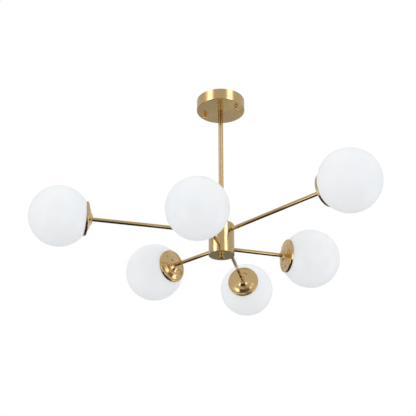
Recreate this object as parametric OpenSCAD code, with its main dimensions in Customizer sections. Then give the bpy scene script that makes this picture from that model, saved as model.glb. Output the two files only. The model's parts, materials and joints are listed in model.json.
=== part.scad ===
// Branch chandelier: a ceiling canopy, a straight down rod and a hub with two tiers of three straight
// arms. Each arm ends in a spun saucer and an opal glass globe that screws onto a lampholder.
// Origin: centre of the ceiling bracket's upper face, in the plane of the ceiling. +Z points up.

/* [Overall] */
// Outside diameter of a glass globe
globe_d = 150; // [120:2:190]
// From the rod's axis to the centre of an upper globe
upper_reach = 410; // [330:5:520]
// From the rod's axis to the centre of a lower globe
lower_reach = 240; // [200:5:300]
// Length of the down rod between the canopy and the hub
rod_length = 336; // [150:2:900]
// Height of the upper arms above the lower arms
tier_gap = 42; // [34:1:60]
// Directions of the three upper arms, in degrees from +X
upper_azimuths = [93, 208.5, 328.5]; // [0:0.5:360]
// Directions of the three lower arms, in degrees from +X
lower_azimuths = [151.5, 270, 30.5]; // [0:0.5:360]

/* [Canopy] */
// Outside diameter of the canopy
canopy_d = 128; // [120:1:160]
// Height of the canopy
canopy_h = 31; // [31:1:45]
// Side wall of the canopy
canopy_wall = 1.5; // [1:0.1:2.5]
// Floor of the canopy
canopy_floor = 1.5; // [1:0.1:2.5]
// Radius of the canopy's lower edge
canopy_edge = 1.4; // [0.4:0.1:1.4]
// Distance between the two studs
stud_spacing = 92; // [80:1:100]
// Direction of the line through the studs, in degrees from +X
stud_azimuth = 168; // [0:1:180]
// Diameter of a stud's thread
stud_d = 4; // [3:0.5:6]
// Diameter of a canopy cap nut's ball
cap_nut_d = 10; // [8:0.5:12]
// Diameter of a canopy cap nut's collar
cap_collar_d = 8; // [7:0.5:12]
// Height of that collar
cap_collar_h = 3; // [2:0.5:5]

/* [Ceiling bracket] */
// Width of the crossbar
bracket_w = 24; // [18:1:30]
// Thickness of the crossbar
bracket_t = 2; // [1.5:0.25:3]
// Bar left beyond each stud
bracket_end = 7; // [5:0.5:9]
// Distance between the holes for the ceiling screws
screw_spacing = 70; // [60:1:74]
// Diameter of the holes for the ceiling screws
screw_hole_d = 5; // [4:0.5:6]
// Diameter of the hole in the middle for the supply wires
wire_hole_d = 14; // [8:1:16]

/* [Down rod] */
// Outside diameter of the down rod
rod_d = 12.7; // [11.5:0.1:16]
// Thread diameter of the nipples at the rod's ends
rod_nipple_d = 10; // [9:0.5:11]
// Bore of those nipples
rod_nipple_bore = 7.5; // [6:0.25:8]
// How far those nipples reach into the rod
rod_grip = 15; // [8:1:25]

/* [Hub] */
// Outside diameter of the hub
hub_d = 65; // [60:1:90]
// Height of the hub
hub_h = 84; // [78:1:110]
// Side wall of the hub
hub_wall = 2.5; // [2:0.1:3.5]
// Top wall of the hub
hub_top = 3; // [2:0.1:5]
// Radius of the hub's upper edge
hub_edge = 4; // [1:0.1:4.5]
// From the hub's top down to the upper arms' axes
upper_drop = 23; // [17:1:30]
// Thickness of the hub's cover
cover_t = 2.5; // [1.5:0.1:4]
// Width of the hub's rim round the cover
cover_rim = 1; // [0.6:0.1:1.4]
// Diameter of the finial nut
finial_d = 15; // [14:0.5:20]
// Height of the finial nut
finial_h = 8; // [6:0.5:14]
// Outside diameter of the distribution block
block_d = 34; // [30:1:38]
// Height of the distribution block
block_h = 10; // [6:1:14]

/* [Arms] */
// Outside diameter of an arm
arm_d = 10; // [9.5:0.1:14]
// Thread diameter of the arm nipples
arm_nipple_d = 8; // [7:0.5:8.5]
// Bore of the arm nipples
arm_nipple_bore = 5.5; // [4.5:0.25:6]
// How far an arm nipple reaches into its arm
arm_grip = 12; // [6:1:20]
// Diameter of an arm's lead
arm_lead_d = 3.6; // [2.5:0.1:4.2]
// Diameter of the supply lead
supply_lead_d = 5; // [4:0.1:5.6]

/* [Saucers] */
// Outside diameter of a saucer's rim
saucer_d = 86; // [80:1:96]
// Sheet that a saucer is spun from
saucer_wall = 1.2; // [0.8:0.1:1.4]
// Radius of the rounded bead at the rim
lip_r = 3.2; // [2.8:0.1:3.6]
// Height of the rim's straight side below that bead
rim_side = 3.4; // [2.6:0.1:3.8]
// Radius of the ledge between the dish and the nose
nose_r = 24; // [22:0.5:26]
// Depth of the dish, from the rim to the nose
dish_depth = 12; // [11.5:0.1:13]
// Depth of the whole saucer, from the rim to the arm
saucer_depth = 19.4; // [19:0.1:22]

/* [Globes, lamps and lampholders] */
// Wall of a glass globe
glass_wall = 2.5; // [2:0.1:4]
// Wall of the globe's neck
neck_wall = 3.2; // [2.4:0.1:3.6]
// Length of the globe's threaded neck
neck_length = 11.6; // [9:0.1:14]
// Outside diameter of a lampholder's threaded sleeve
holder_d = 25.2; // [24:0.1:27]
// Length of the sleeve
holder_length = 28; // [26:0.5:34]
// Thickness of the flange behind the sleeve
flange_t = 1; // [0.8:0.1:1.2]
// Thickness of the seal washer under the globe's neck
seal_t = 1; // [0.6:0.1:1.2]
// Diameter of a lamp
lamp_d = 16; // [14:0.5:17]
// Length of a lamp without its pins
lamp_length = 48; // [40:1:56]
// Depth of a lamp's foot in its holder
lamp_seat = 16; // [12:0.5:17]
// Distance between the lamp's two pins
pin_spacing = 9; // [8:0.5:10]
// Diameter of a pin
pin_d = 1.5; // [1:0.1:2]
// Length of a pin
pin_length = 5; // [4:0.5:5.5]

/* [Nuts and clearances] */
// Width across flats of the hex nuts on the arm nipples
arm_nut_af = 12; // [11:0.5:13]
// Thickness of those nuts
arm_nut_t = 3.5; // [2.5:0.5:4]
// Width across flats of the hex nuts on the rod's nipples
rod_nut_af = 14; // [13:0.5:17]
// Thickness of those nuts
rod_nut_t = 4; // [3:0.5:6]
// Radial gap between a plain thread and its nut or tube
thread_gap = 0.05; // [0.02:0.01:0.1]
// Radial gap round a screw or nipple in a plain hole
hole_gap = 0.2; // [0.1:0.05:0.5]
// Gap between pieces that turn or slide on each other
slip_gap = 0.3; // [0.2:0.05:0.5]

/* [Hidden] */
$fn = 96;
EPS = 0.01; // depth by which joined shapes share material, and the smallest gap between faces
CUT = 1;    // length by which a cut runs past the face it opens
FINE = 48;  // sides of the small round sections that are turned or swept
SIDES = [-1, 1];
TIER_ARMS = 3;
ARMS = 2 * TIER_ARMS;
ARM_NAMES = [for (tier = ["upper", "lower"]) for (i = [1:TIER_ARMS]) str(tier, "_", i)];
PER_ARM = ["arm_", "saucer_", "lampholder_", "lamp_", "seal_", "globe_"];
FIXED = ["ceiling_bracket", "bracket_studs", "stud_nuts", "earth_screw", "canopy", "terminal_block",
    "earth_lead", "supply_lead", "canopy_nipple", "rod_nuts", "down_rod", "hub_body", "hub_nipple",
    "hub_cover", "distribution_block", "arm_nipples", "arm_nuts", "arm_leads", "cap_washer_1",
    "cap_washer_2", "cap_nut_1", "cap_nut_2", "finial_washer", "finial_nut"];

BRASS = [0.76, 0.62, 0.38];
DARK_BRASS = [0.52, 0.42, 0.30];
STEEL = [0.72, 0.73, 0.75];
OPAL = [0.93, 0.95, 0.96];
PORCELAIN = [0.90, 0.89, 0.85];
RUBBER = [0.86, 0.86, 0.84];
CABLE = [0.88, 0.86, 0.80];
EARTH = [0.35, 0.60, 0.25];
PLASTIC = [0.16, 0.16, 0.17];

// Heights of the main pieces, down from the ceiling
canopy_bottom = -canopy_h;
hub_top_z = canopy_bottom - rod_length;
hub_bottom_z = hub_top_z - hub_h;
upper_z = hub_top_z - upper_drop;
lower_z = upper_z - tier_gap;
block_z = (upper_z + lower_z) / 2;
hub_r = hub_d / 2;
hub_bore_r = hub_r - hub_wall;
seat_gap = slip_gap / 3; // between faces that rest on each other and part when a nut is undone

// Rod, its nipples and what passes through them
rod_bore_r = rod_nipple_d / 2 + thread_gap;
rod_hole_r = rod_nipple_d / 2 + hole_gap;
rod_washer_t = 1;
rod_washer_r = rod_nipple_d / 2 + 4;
canopy_nut_z = canopy_bottom + canopy_floor + rod_washer_t;
nipple_past_nut = 1.5;
canopy_nipple_top = canopy_nut_z + rod_nut_t + nipple_past_nut;

// Arms' nipples and nuts: at the hub the nut's corners meet the curved wall
arm_bore_r = arm_nipple_d / 2 + thread_gap;
arm_hole_r = arm_nipple_d / 2 + hole_gap;
arm_nut_corner = arm_nut_af / 2 / cos(30);
arm_nut_x = sqrt(pow(hub_bore_r, 2) - pow(arm_nut_corner, 2)) - thread_gap;
arm_nipple_x = arm_nut_x - arm_nut_t - nipple_past_nut;
arm_nipple_length = hub_r + arm_grip - arm_nipple_x;

// Leads: the arms' leads turn to the distribution block on a ring, the supply's cores reach it sideways
arm_lead_r = arm_lead_d / 2;
arm_bend_r = 8;
lead_ring_r = 12;
lead_in_block = 2.5;
block_socket = 3;
core_r = 0.8;
core_rise = 1.6;
core_length = rod_nipple_d / 2 + 4;
supply_bend_r = 7;
supply_past_cores = 3;
earth_lead_r = 1.1;

// Saucer, measured along the arm's axis from the globe's centre towards the hub. Its dish and nose are
// curves whose middle points lie these distances from their ends.
globe_r = globe_d / 2;
saucer_r = saucer_d / 2;
rim_s = sqrt(pow(globe_r + slip_gap, 2) - pow(saucer_r - saucer_wall, 2));
nose_s = rim_s + saucer_depth;
nose_flat_r = arm_nut_corner + 0.4;
lip_turn = 122;
lip_steps = 7;
lip_pull = 3;
dish_pull = [4.5, -0.8];
dish_steps = 7;
nose_low_pull = [-9, 0.6];
nose_top_pull = [9, -1.8];
nose_steps = 8;

// The saucer's outside from its rim to the flat round the arm, as radius and depth
lip_points = [for (k = [0:lip_steps]) let (a = lip_turn * k / lip_steps)
    [saucer_r - lip_r + lip_r * cos(a), rim_side + lip_r * sin(a)]];
lip_end = lip_points[lip_steps];
dish_end = [nose_r, dish_depth];
dish_points = [for (k = [1:dish_steps]) bezier(lip_end,
    lip_end + lip_pull * [-sin(lip_turn), cos(lip_turn)], dish_end + dish_pull, dish_end, k / dish_steps)];
nose_end = [nose_flat_r, saucer_depth];
nose_points = [for (k = [1:nose_steps]) bezier(dish_end, dish_end + nose_low_pull,
    nose_end + nose_top_pull, nose_end, k / nose_steps)];
saucer_outside = concat([[saucer_r, 0]], lip_points, dish_points, nose_points, [[arm_hole_r, saucer_depth]]);
saucer_inside = let (points = inset(saucer_outside, saucer_wall), last = len(points) - 1)
    [for (k = [0:last]) k == 0 ? [saucer_r - saucer_wall, 0]
        : k == last ? [arm_hole_r, saucer_depth - saucer_wall] : points[k]];

// Lampholder and neck, on the same measure
socket_s = nose_s - saucer_wall - thread_gap - arm_nut_t;
flange_r = holder_d / 2 + 1.2;
flange_s = socket_s - thread_gap;
sleeve_s = flange_s - flange_t;
mouth_s = sleeve_s - holder_length;
neck_bore_r = holder_d / 2 + slip_gap + thread_gap;
neck_r = neck_bore_r + neck_wall;
neck_s = sleeve_s - seal_t - slip_gap;
seal_inner_r = holder_d / 2 + slip_gap / 2;
seal_outer_r = neck_r - 0.8;
lamp_gap = 0.4;
lamp_foot_s = mouth_s + lamp_seat;
lamp_tip_s = lamp_foot_s - lamp_length;
pin_hole_r = pin_d / 2 + slip_gap;
pin_hole_depth = pin_length + 0.7;
nipple_end_s = nose_s + arm_grip - arm_nipple_length;
lead_stop_s = nipple_end_s - hole_gap;

// Studs and what they carry
stud_r = stud_d / 2;
stud_nut_af = 7;
stud_nut_t = 3.2;
cap_washer_t = 0.8;
cap_washer_r = cap_collar_d / 2 + 0.7;
cap_nut_top = canopy_bottom - cap_washer_t - 2 * seat_gap;
cap_ball_sunk = 0.2; // share of the ball that the collar hides
cap_nut_h = cap_collar_h + cap_nut_d * (1 - cap_ball_sunk);
stud_in_nut = 0.57;  // share of the nut's height that the stud fills
nut_bore_share = 0.7;
stud_bottom = cap_nut_top - cap_nut_h * stud_in_nut;

// Finial nut
finial_washer_t = 0.8;
finial_washer_r = finial_d / 2 - 0.8;
finial_chamfer = 1.2;
finial_bore_share = 0.75;
nipple_in_finial = 0.7;
finial_top = hub_bottom_z - finial_washer_t - 2 * seat_gap;
hub_nipple_bottom = finial_top - finial_h * nipple_in_finial;

// Terminal block beside the rod's nut, and the earth screw in the bracket
terminal_w = 30;
terminal_d = 12;
terminal_h = 18;
terminal_x = 16;
terminal_entry = 4;     // depth of the wires' entries below the block's top
terminal_socket = 4;    // how deep a wire's socket is
wire_in_socket = 3;     // how far a wire reaches into it
terminal_screws = [5, 15, 25];
terminal_screw_x = 8;
terminal_screw_r = 1.8;
terminal_screw_depth = 2;
terminal_entry_z = canopy_bottom + canopy_floor + terminal_h - terminal_entry;
earth_x = 24;
earth_drop_x = 10;
earth_head_h = 2.4;
earth_head_r = stud_r + 1.6;
earth_lug_r = stud_r + 1.4;
earth_lug_t = 2 * earth_lead_r + 0.2;
earth_slot_w = 1;
earth_slot_depth = 0.8;
earth_lug_z = -bracket_t - EPS - earth_lug_t / 2;
earth_drop = earth_lug_z - terminal_entry_z;
earth_bend_r = 3;

// ---- helpers ----

// Point of a cubic curve with end points a and d and control points b and c
function bezier(a, b, c, d, t) =
    pow(1 - t, 3) * a + 3 * t * pow(1 - t, 2) * b + 3 * t * t * (1 - t) * c + pow(t, 3) * d;

// The points of an outline, moved sideways by t, each along the normal there
function inset(points, t) = [for (i = [0:len(points) - 1])
    let (a = points[max(i - 1, 0)], b = points[min(i + 1, len(points) - 1)], d = (b - a) / norm(b - a))
    points[i] + t * [-d[1], d[0]]];

function reversed(points) = [for (i = [len(points) - 1:-1:0]) points[i]];

function is_upper(i) = i < TIER_ARMS;
function tier_z(i) = is_upper(i) ? upper_z : lower_z;
function reach(i) = is_upper(i) ? upper_reach : lower_reach;
function azimuth(i) = is_upper(i) ? upper_azimuths[i] : lower_azimuths[i - TIER_ARMS];

// Children drawn along +X lie along arm i, from the rod's axis outwards
module on_arm(i) translate([0, 0, tier_z(i)]) rotate([0, 0, azimuth(i)]) children();

// Children drawn up +Z stand on arm i's axis, from the globe's centre towards the hub
module on_globe(i) on_arm(i) translate([reach(i), 0, 0]) rotate([0, -90, 0]) children();

// Children drawn along +X lie along the studs' line
module on_stud_line() rotate([0, 0, stud_azimuth]) children();

// Children at the rod's axis stand at each stud
module at_studs() on_stud_line() for (side = SIDES) translate([side * stud_spacing / 2, 0, 0]) children();

module ring(outer_r, inner_r, height) difference() {
    cylinder(r = outer_r, h = height);
    translate([0, 0, -CUT]) cylinder(r = inner_r, h = height + 2 * CUT);
}

module hex_nut(across_flats, bore_r, thickness) difference() {
    cylinder(r = across_flats / 2 / cos(30), h = thickness, $fn = 6);
    translate([0, 0, -CUT]) cylinder(r = bore_r, h = thickness + 2 * CUT);
}

// Two holes across the hub nipple's axis for the supply's cores
module core_holes(r, length) for (side = SIDES) translate([0, 0, block_z + side * core_rise])
    rotate([0, side * 90, 0]) cylinder(r = r, h = length);

// A round lead that runs straight, turns through a quarter circle in the XZ plane and runs up +Z
module bent_lead(from_x, to_z, bend, r) {
    rotate([0, 90, 0]) translate([0, 0, bend]) cylinder(r = r, h = from_x - bend);
    translate([bend, 0, bend]) rotate([90, 0, 0]) rotate([0, 0, 180])
        rotate_extrude(angle = 90) translate([bend, 0]) circle(r = r, $fn = FINE);
    translate([0, 0, bend]) cylinder(r = r, h = to_z - bend);
}

// ---- ceiling bracket and canopy ----

module ceiling_bracket() color(STEEL) on_stud_line() translate([0, 0, -bracket_t]) difference() {
    linear_extrude(bracket_t) union() {
        square([stud_spacing, bracket_w - 2 * bracket_end], center = true);
        square([stud_spacing - 2 * bracket_end, bracket_w], center = true);
        for (side = SIDES) translate([side * stud_spacing / 2, 0]) circle(r = bracket_end);
    }
    for (x = [-stud_spacing / 2, stud_spacing / 2, earth_x]) translate([x, 0, -CUT])
        cylinder(r = stud_r + thread_gap, h = bracket_t + 2 * CUT);
    for (side = SIDES) translate([side * screw_spacing / 2, 0, -CUT])
        cylinder(d = screw_hole_d, h = bracket_t + 2 * CUT);
    translate([0, 0, -CUT]) cylinder(d = wire_hole_d, h = bracket_t + 2 * CUT);
}

module bracket_studs() color(STEEL) at_studs() translate([0, 0, stud_bottom])
    cylinder(r = stud_r, h = -stud_bottom - EPS);

module stud_nuts() color(STEEL) at_studs() translate([0, 0, -bracket_t - stud_nut_t])
    hex_nut(stud_nut_af, stud_r + thread_gap, stud_nut_t);

module earth_screw() color(EARTH) on_stud_line()
    translate([earth_x, 0, earth_lug_z - earth_lug_t / 2 - EPS - earth_head_h]) difference() {
        union() {
            cylinder(r = earth_head_r, h = earth_head_h);
            cylinder(r = stud_r, h = earth_head_h + EPS + earth_lug_t + bracket_t);
        }
        translate([-earth_head_r - CUT, -earth_slot_w / 2, -CUT])
            cube([2 * (earth_head_r + CUT), earth_slot_w, earth_slot_depth + CUT]);
    }

// A plain cup with a rounded lower edge
module canopy() color(BRASS) difference() {
    union() {
        translate([0, 0, canopy_bottom + canopy_edge]) cylinder(d = canopy_d, h = canopy_h - canopy_edge);
        translate([0, 0, canopy_bottom]) cylinder(d = canopy_d - 2 * canopy_edge, h = canopy_h / 2);
        translate([0, 0, canopy_bottom + canopy_edge]) rotate_extrude()
            translate([canopy_d / 2 - canopy_edge, 0]) circle(r = canopy_edge, $fn = FINE);
    }
    translate([0, 0, canopy_bottom + canopy_floor]) cylinder(d = canopy_d - 2 * canopy_wall, h = canopy_h);
    translate([0, 0, canopy_bottom - CUT]) cylinder(r = rod_hole_r, h = canopy_floor + 2 * CUT);
    at_studs() translate([0, 0, canopy_bottom - CUT])
        cylinder(r = stud_r + hole_gap, h = canopy_floor + 2 * CUT);
}

module cap_washer(side) color(BRASS) on_stud_line()
    translate([side * stud_spacing / 2, 0, cap_nut_top + seat_gap])
        ring(cap_washer_r, stud_r + slip_gap, cap_washer_t);

// A ball on a round collar, with a blind thread
module cap_nut(side) color(BRASS) on_stud_line()
    translate([side * stud_spacing / 2, 0, cap_nut_top]) difference() {
        union() {
            translate([0, 0, -cap_collar_h]) cylinder(d = cap_collar_d, h = cap_collar_h);
            translate([0, 0, cap_nut_d / 2 - cap_nut_h]) sphere(d = cap_nut_d);
        }
        translate([0, 0, -cap_nut_h * nut_bore_share]) cylinder(r = stud_r + thread_gap, h = cap_nut_h);
    }

// Children drawn along +X lead from the rod's axis to the terminal block
module towards_terminal() on_stud_line() rotate([0, 0, 90]) children();

module terminal_block() color(PORCELAIN) towards_terminal()
    translate([terminal_x, -terminal_w / 2, canopy_bottom + canopy_floor]) difference() {
        cube([terminal_d, terminal_w, terminal_h]);
        translate([-CUT, terminal_w / 2, terminal_h - terminal_entry]) rotate([0, 90, 0])
            cylinder(r = supply_lead_d / 2 + hole_gap, h = terminal_socket + CUT);
        translate([-CUT, terminal_w / 2 - earth_drop_x, terminal_h - terminal_entry]) rotate([0, 90, 0])
            cylinder(r = earth_lead_r + hole_gap, h = terminal_socket + CUT);
        for (y = terminal_screws) translate([terminal_screw_x, y, terminal_h - terminal_screw_depth])
            cylinder(r = terminal_screw_r, h = terminal_screw_depth + CUT);
    }

// The earth lead goes from its screw's lug along the bracket, down and across to the terminal block
module earth_lead() color(EARTH) on_stud_line() {
    translate([earth_x, 0, earth_lug_z - earth_lug_t / 2])
        ring(earth_lug_r, stud_r + thread_gap, earth_lug_t);
    translate([earth_drop_x, 0, earth_lug_z]) mirror([0, 0, 1])
        bent_lead(earth_x - earth_drop_x - (stud_r + earth_lug_r) / 2, earth_drop / 2, earth_bend_r,
            earth_lead_r);
    translate([earth_drop_x, 0, terminal_entry_z]) rotate([0, 0, 90])
        bent_lead(terminal_x + wire_in_socket, earth_drop / 2, earth_bend_r, earth_lead_r);
}

// ---- down rod ----

module down_rod() color(BRASS) translate([0, 0, hub_top_z]) ring(rod_d / 2, rod_bore_r, rod_length);

module canopy_nipple() color(STEEL) translate([0, 0, canopy_bottom - rod_grip])
    ring(rod_nipple_d / 2, rod_nipple_bore / 2, canopy_nipple_top - canopy_bottom + rod_grip);

// Nut and washer in the canopy, and the nuts under the hub's top and over its cover
module rod_nuts() color(STEEL) {
    translate([0, 0, canopy_bottom + canopy_floor]) ring(rod_washer_r, rod_bore_r, rod_washer_t);
    for (z = [canopy_nut_z, hub_top_z - hub_top - rod_nut_t, hub_bottom_z + cover_t])
        translate([0, 0, z]) hex_nut(rod_nut_af, rod_bore_r, rod_nut_t);
}

// The supply lead leaves the terminal block, turns down the rod and ends at the distribution block,
// where two bare cores pass out through the hub nipple's side
module supply_lead() color(CABLE) {
    towards_terminal() translate([0, 0, terminal_entry_z]) mirror([0, 0, 1])
        bent_lead(terminal_x + wire_in_socket, terminal_entry_z - block_z + supply_past_cores,
            supply_bend_r, supply_lead_d / 2);
    core_holes(core_r, core_length);
}

// ---- hub ----

// A drum, closed at the top with a rounded edge and open below, where a step takes the cover
module hub_body() color(BRASS) difference() {
    union() {
        translate([0, 0, hub_bottom_z]) cylinder(r = hub_r, h = hub_h - hub_edge);
        translate([0, 0, hub_top_z - hub_h / 2]) cylinder(r = hub_r - hub_edge, h = hub_h / 2);
        translate([0, 0, hub_top_z - hub_edge]) rotate_extrude()
            translate([hub_r - hub_edge, 0]) circle(r = hub_edge, $fn = FINE);
    }
    translate([0, 0, hub_bottom_z - CUT]) cylinder(r = hub_bore_r, h = hub_h - hub_top + CUT);
    translate([0, 0, hub_bottom_z - CUT]) cylinder(r = hub_r - cover_rim, h = cover_t + CUT);
    translate([0, 0, hub_top_z - hub_top - CUT]) cylinder(r = rod_hole_r, h = hub_top + 2 * CUT);
    for (i = [0:ARMS - 1]) on_arm(i) rotate([0, 90, 0]) cylinder(r = arm_hole_r, h = hub_d);
}

module hub_nipple() color(STEEL) difference() {
    translate([0, 0, hub_nipple_bottom])
        ring(rod_nipple_d / 2, rod_nipple_bore / 2, hub_top_z + rod_grip - hub_nipple_bottom);
    core_holes(core_r + hole_gap, rod_nipple_d);
}

module hub_cover() color(DARK_BRASS) translate([0, 0, hub_bottom_z])
    ring(hub_r - cover_rim - thread_gap, rod_hole_r, cover_t - EPS);

module distribution_block() color(PLASTIC) difference() {
    translate([0, 0, block_z - block_h / 2]) ring(block_d / 2, rod_bore_r, block_h);
    for (i = [0:ARMS - 1]) translate([0, 0, block_z]) rotate([0, 0, azimuth(i)])
        mirror([0, 0, is_upper(i) ? 0 : 1]) translate([lead_ring_r, 0, block_h / 2 - block_socket])
            cylinder(r = arm_lead_r + hole_gap, h = block_socket + CUT);
    core_holes(core_r + hole_gap, core_length + CUT);
}

module finial_washer() color(BRASS) translate([0, 0, finial_top + seat_gap])
    ring(finial_washer_r, rod_nipple_d / 2 + slip_gap, finial_washer_t);

module finial_nut() color(BRASS) translate([0, 0, finial_top]) difference() {
    rotate_extrude() polygon([[0, 0], [finial_d / 2, 0], [finial_d / 2, finial_chamfer - finial_h],
        [finial_d / 2 - finial_chamfer, -finial_h], [0, -finial_h]]);
    translate([0, 0, -finial_h * finial_bore_share]) cylinder(r = rod_bore_r, h = finial_h);
}

// ---- arms ----

// A straight tube whose inner end is cut to the hub's curve
module arm(i) color(BRASS) on_arm(i) difference() {
    rotate([0, 90, 0]) cylinder(d = arm_d, h = reach(i) - nose_s);
    rotate([0, 90, 0]) cylinder(r = arm_bore_r, h = reach(i));
    translate([0, 0, -arm_d]) cylinder(r = hub_r, h = 2 * arm_d);
}

// One nipple at the hub and one at the saucer of each arm
module arm_nipples() color(STEEL) for (i = [0:ARMS - 1]) {
    on_arm(i) translate([arm_nipple_x, 0, 0]) rotate([0, 90, 0])
        ring(arm_nipple_d / 2, arm_nipple_bore / 2, arm_nipple_length);
    on_globe(i) translate([0, 0, nipple_end_s])
        ring(arm_nipple_d / 2, arm_nipple_bore / 2, arm_nipple_length);
}

module arm_nuts() color(STEEL) for (i = [0:ARMS - 1]) {
    on_arm(i) translate([arm_nut_x - arm_nut_t, 0, 0]) rotate([0, 90, 0])
        hex_nut(arm_nut_af, arm_bore_r, arm_nut_t);
    on_globe(i) translate([0, 0, socket_s]) hex_nut(arm_nut_af, arm_bore_r, arm_nut_t);
}

// Each lead runs inside its arm and turns up or down to the distribution block
module arm_leads() color(CABLE) for (i = [0:ARMS - 1]) on_arm(i) translate([lead_ring_r, 0, 0])
    mirror([0, 0, is_upper(i) ? 1 : 0])
        bent_lead(reach(i) - lead_stop_s - lead_ring_r, (tier_gap - block_h) / 2 + lead_in_block,
            arm_bend_r, arm_lead_r);

// ---- saucer, lampholder, lamp and globe, drawn up +Z from the globe's centre ----

// A spun cup: a bead at the rim, a dish, a ledge and a nose that ends flat round the arm
module saucer(i) color(BRASS) on_globe(i) translate([0, 0, rim_s]) rotate_extrude()
    polygon(concat(saucer_outside, reversed(saucer_inside)));

// A round body with a flange behind it, a well for the lamp's foot, two pin holes and a threaded tail hole
module lampholder(i) color(PORCELAIN) on_globe(i) difference() {
    union() {
        translate([0, 0, mouth_s]) cylinder(d = holder_d, h = holder_length);
        translate([0, 0, sleeve_s]) cylinder(r = flange_r, h = flange_t);
    }
    translate([0, 0, mouth_s - CUT])
        cylinder(r = lamp_d / 2 + lamp_gap, h = CUT + lamp_seat + seat_gap);
    for (side = SIDES) translate([0, side * pin_spacing / 2, lamp_foot_s])
        cylinder(r = pin_hole_r, h = pin_hole_depth);
    translate([0, 0, lead_stop_s]) cylinder(r = arm_bore_r, h = holder_length);
}

module lamp(i) color(OPAL) on_globe(i) {
    translate([0, 0, lamp_tip_s + lamp_d / 2]) cylinder(d = lamp_d, h = lamp_length - lamp_d / 2);
    translate([0, 0, lamp_tip_s + lamp_d / 2]) sphere(d = lamp_d);
    for (side = SIDES) translate([0, side * pin_spacing / 2, lamp_foot_s - EPS])
        cylinder(d = pin_d, h = pin_length);
}

module seal(i) color(RUBBER) on_globe(i) translate([0, 0, sleeve_s - seal_t - seat_gap])
    ring(seal_outer_r, seal_inner_r, seal_t);

// A hollow ball with a short neck, threaded inside, that passes through its wall
module globe(i) color(OPAL) on_globe(i) difference() {
    union() {
        difference() {
            sphere(r = globe_r);
            sphere(r = globe_r - glass_wall);
        }
        translate([0, 0, neck_s - neck_length]) cylinder(r = neck_r, h = neck_length);
    }
    translate([0, 0, neck_s - neck_length - CUT]) cylinder(r = neck_bore_r, h = neck_length + 2 * CUT);
}

// ---- assembly ----

ceiling_bracket();
bracket_studs();
stud_nuts();
earth_screw();
canopy();
terminal_block();
earth_lead();
supply_lead();
canopy_nipple();
rod_nuts();
down_rod();
hub_body();
hub_nipple();
hub_cover();
distribution_block();
arm_nipples();
arm_nuts();
arm_leads();
cap_washer(1);  // cap_washer_1
cap_washer(-1);  // cap_washer_2
cap_nut(1);  // cap_nut_1
cap_nut(-1);  // cap_nut_2
finial_washer();
finial_nut();
for (i = [0:ARMS - 1]) {
    arm(i);
    saucer(i);
    lampholder(i);
    lamp(i);
    seal(i);
    globe(i);
}
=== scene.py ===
"""The looks of a branch chandelier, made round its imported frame.

Everything is in metres, with +Z up and the origin in the plane of the ceiling. Turned pieces are
drawn as outlines and spun about their own Z axis; each arm's pieces share one local frame, which
starts at the centre of that arm's globe and points along the arm to the hub.
"""

import json
import logging
import math
from collections.abc import Iterable, Sequence
from dataclasses import dataclass, field
from enum import Enum
from typing import Any, ClassVar

import bmesh
import bpy
from mathutils import Matrix, Vector

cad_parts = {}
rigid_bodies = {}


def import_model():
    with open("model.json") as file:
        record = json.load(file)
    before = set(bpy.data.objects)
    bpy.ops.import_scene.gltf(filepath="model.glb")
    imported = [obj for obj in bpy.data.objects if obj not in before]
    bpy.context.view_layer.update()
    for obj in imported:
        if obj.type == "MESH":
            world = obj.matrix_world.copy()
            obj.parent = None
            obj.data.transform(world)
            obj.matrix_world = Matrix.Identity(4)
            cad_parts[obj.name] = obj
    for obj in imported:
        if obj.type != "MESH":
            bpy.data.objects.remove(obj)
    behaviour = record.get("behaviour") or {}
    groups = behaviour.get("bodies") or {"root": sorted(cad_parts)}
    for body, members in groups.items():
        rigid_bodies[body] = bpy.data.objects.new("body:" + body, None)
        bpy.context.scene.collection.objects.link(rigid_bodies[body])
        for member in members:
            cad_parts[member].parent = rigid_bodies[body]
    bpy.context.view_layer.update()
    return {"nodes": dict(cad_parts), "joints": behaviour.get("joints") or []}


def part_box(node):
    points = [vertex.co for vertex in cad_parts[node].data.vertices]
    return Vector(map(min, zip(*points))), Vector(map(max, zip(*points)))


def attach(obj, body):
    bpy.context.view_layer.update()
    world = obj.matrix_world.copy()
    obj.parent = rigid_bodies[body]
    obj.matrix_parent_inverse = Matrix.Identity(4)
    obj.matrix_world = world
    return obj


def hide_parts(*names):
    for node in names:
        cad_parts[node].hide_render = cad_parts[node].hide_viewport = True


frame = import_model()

LOG = logging.getLogger("chandelier")

Colour = tuple[float, float, float, float]
Point = tuple[float, float]
Span = tuple[float, float]
Socket = bpy.types.NodeSocket

MM = 0.001
ON_AXIS = 1e-6           # a radius below this is a point on the axis
SHARP_ANGLE = 32.0       # degrees between faces, above which a turned piece's edge is sharp
BREAK_ANGLE = 40.0       # degrees, above which a frame node's edge is broken
WELD_GAP = 0.002 * MM    # points nearer than this are joined before an edge is broken
FULL_EDGE = 0.86         # how closely a rounded normal still follows the true one at a full edge
LONGEST_CUT = 0.49       # the most of an outline's side that one fillet takes
SOFT_SPAN = (0.3, 0.7)   # the part of a noise's range that a soft blend is spread over
FIRM_SPAN = (0.35, 0.65) # the same for a firmer blend
QUARTER_TURN = 0.25      # of a full turn, as the shader counts it
CARD_COLUMNS = 25        # how many points a card has from side to side, or round its rim
UP = Vector((0.0, 0.0, 1.0))


def linear(part: int) -> float:
    """Turns one part of a screen's colour into its linear value.

    Args:
        part: The part, from 0 to 255.

    Returns:
        The linear value, from 0 to 1.
    """
    full, straight_end, straight_slope, offset, power = 255, 0.04045, 12.92, 0.055, 2.4
    share = part / full
    if share <= straight_end:
        return share / straight_slope
    return ((share + offset) / (1 + offset)) ** power


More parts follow.
